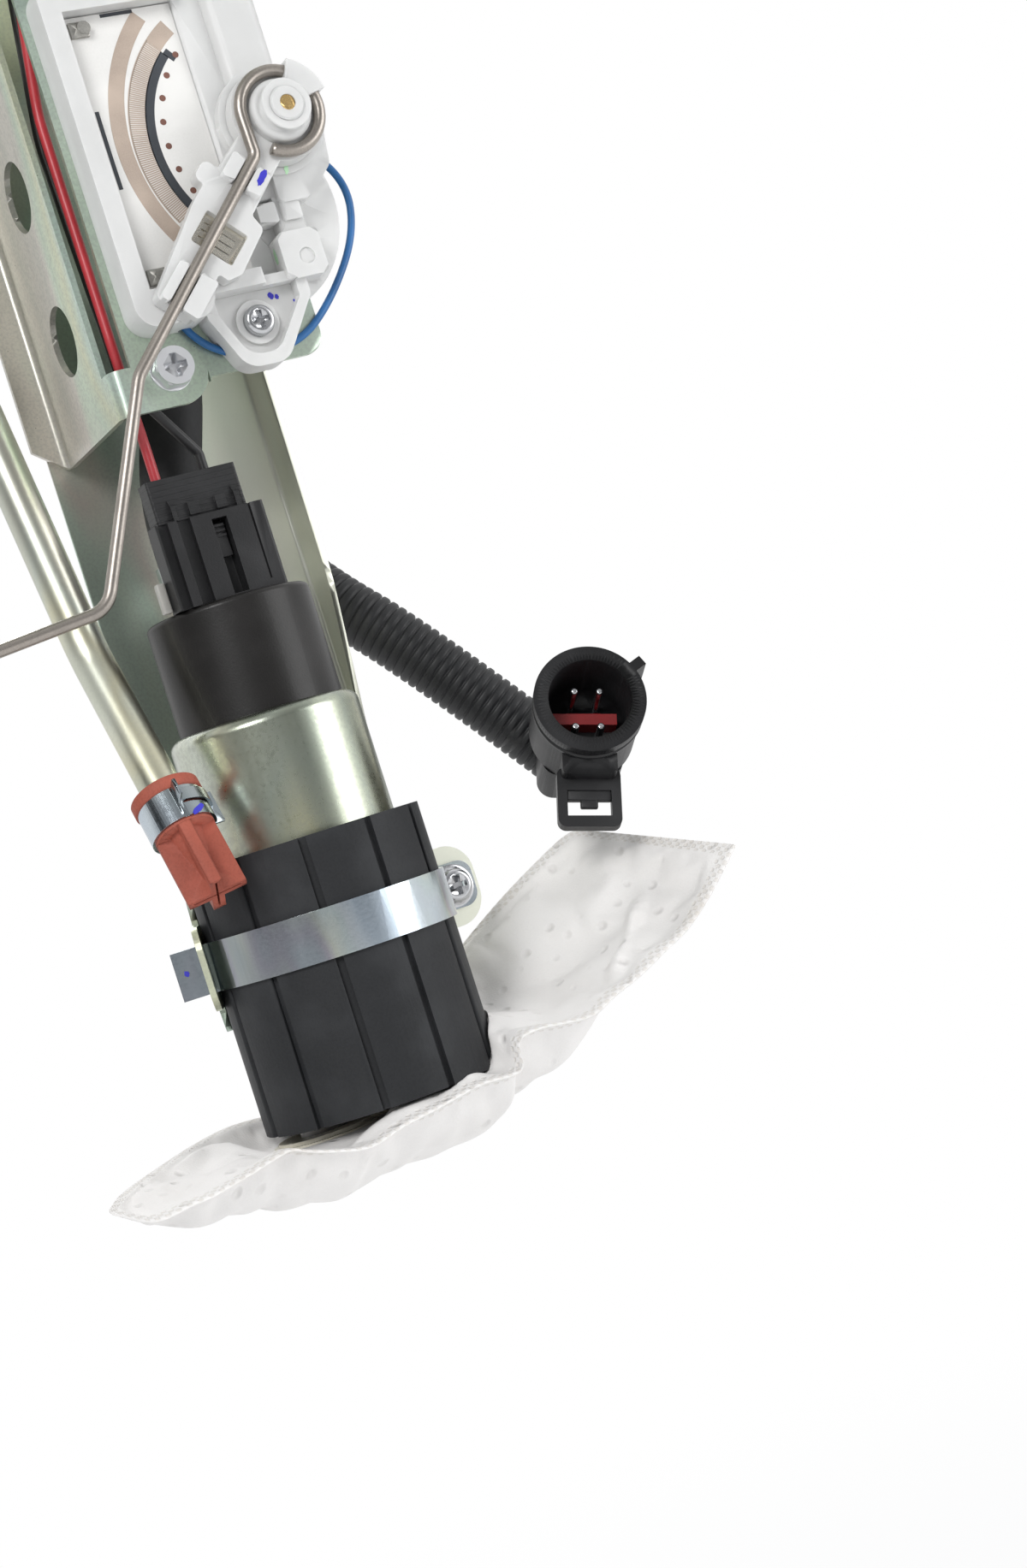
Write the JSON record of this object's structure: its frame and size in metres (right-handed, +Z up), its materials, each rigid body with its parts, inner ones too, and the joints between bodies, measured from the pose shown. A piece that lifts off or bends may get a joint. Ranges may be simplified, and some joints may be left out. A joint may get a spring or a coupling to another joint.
{
  "type": "fuel pump module",
  "caption": "In-tank fuel pump module: round flange, sheet steel hanger, electric pump in a rubber sleeve with a strainer sock, level sender with float arm, return valve and wiring harness.",
  "frame": {"origin": "centre of the flange's flat sealing underside", "axes": "+Z up, out of the tank through the flange; -Y towards the side with the level sender; +X right, seen from that side"},
  "size_m": [0.194, 0.1564, 0.3389],
  "materials": {
    "zinc_steel": "satin zinc plate with a pale yellow cast",
    "tube_steel": "satin plated tube",
    "bright_steel": "satin",
    "wire_steel": "satin",
    "hose_rubber": "matte",
    "black_gloss": "glossy",
    "black_plastic": "satin",
    "motor_iron": "laminated",
    "copper": "bright copper",
    "carbon": "matte",
    "ferrite": "matte",
    "bearing_alloy": "machined",
    "sleeve_rubber": "matte",
    "red_insulation": "satin",
    "black_insulation": "satin",
    "blue_insulation": "satin",
    "natural_plastic": "translucent white",
    "white_plastic": "satin",
    "ceramic": "matte",
    "brass": "satin",
    "float_foam": "matte closed foam",
    "valve_rubber": "matte red brown",
    "sock_fabric": "bonded weave",
    "lock_plastic": "satin",
    "conduit_plastic": "corrugated"
  },
  "bodies": {
    "hanger": {"flange_plate": "zinc_steel", "feed_tube": "tube_steel", "return_tube": "tube_steel", "feed_hose": "hose_rubber", "hose_clamps": "bright_steel", "main_channel": "zinc_steel", "sender_bracket": "zinc_steel", "bracket_screw": "bright_steel", "clinch_nut": "bright_steel", "pump_can": "zinc_steel", "pump_end_cap": "black_gloss", "pump_terminals": "copper", "carbon_brushes": "carbon", "magnets": "ferrite", "bearing_plate": "bearing_alloy", "inlet_plate": "bearing_alloy", "rubber_sleeve": "sleeve_rubber", "strap": "bright_steel", "strap_screw": "bright_steel", "strap_nut": "bright_steel", "plug_housing": "black_plastic", "plug_cap": "black_plastic", "red_wire": "red_insulation", "black_wire": "black_insulation", "blue_wire": "blue_insulation", "sender_body": "natural_plastic", "resistor_card": "ceramic", "card_terminals": "bright_steel", "sender_screws": "bright_steel", "pivot_pin": "brass", "duckbill_valve": "valve_rubber", "valve_band": "bright_steel", "sock_ring": "white_plastic", "sock_hub": "white_plastic", "sock_bag": "sock_fabric", "harness_gland": "black_plastic", "harness_conduit": "conduit_plastic", "harness_tail": "black_insulation", "connector_shell": "black_plastic", "connector_pins": "bright_steel", "connector_lock": "lock_plastic", "connector_latch": "black_plastic"},
    "rotor": {"armature": "motor_iron", "windings": "copper", "commutator": "copper", "motor_shaft": "bright_steel", "impeller": "black_plastic"},
    "float_lever": {"wiper_carrier": "natural_plastic", "wiper_contacts": "bright_steel", "float_arm": "wire_steel", "float_clip": "bright_steel"},
    "float_body": {"level_float": "float_foam"},
    "outlet_valve": {"check_valve": "white_plastic"}
  },
  "joints": [
    {"name": "float_arm_hinge", "type": "hinge", "parent": "hanger", "child": "float_lever", "pos_m": [0.0295, -0.028, -0.1128], "axis": [0, 1, 0], "range_deg": [0, 68]},
    {"name": "float_swivel", "type": "hinge", "parent": "float_lever", "child": "float_body", "pos_m": [-0.092, -0.018, -0.202], "axis": [0, 1, 0], "continuous": true},
    {"name": "rotor_spin", "type": "hinge", "parent": "hanger", "child": "rotor", "pos_m": [0, 0, -0.245], "axis": [0, 0, 1], "continuous": true},
    {"name": "outlet_valve_lift", "type": "slide", "parent": "hanger", "child": "outlet_valve", "axis": [0, 0, 1], "range_m": [0, 0.0015]}
  ]
}
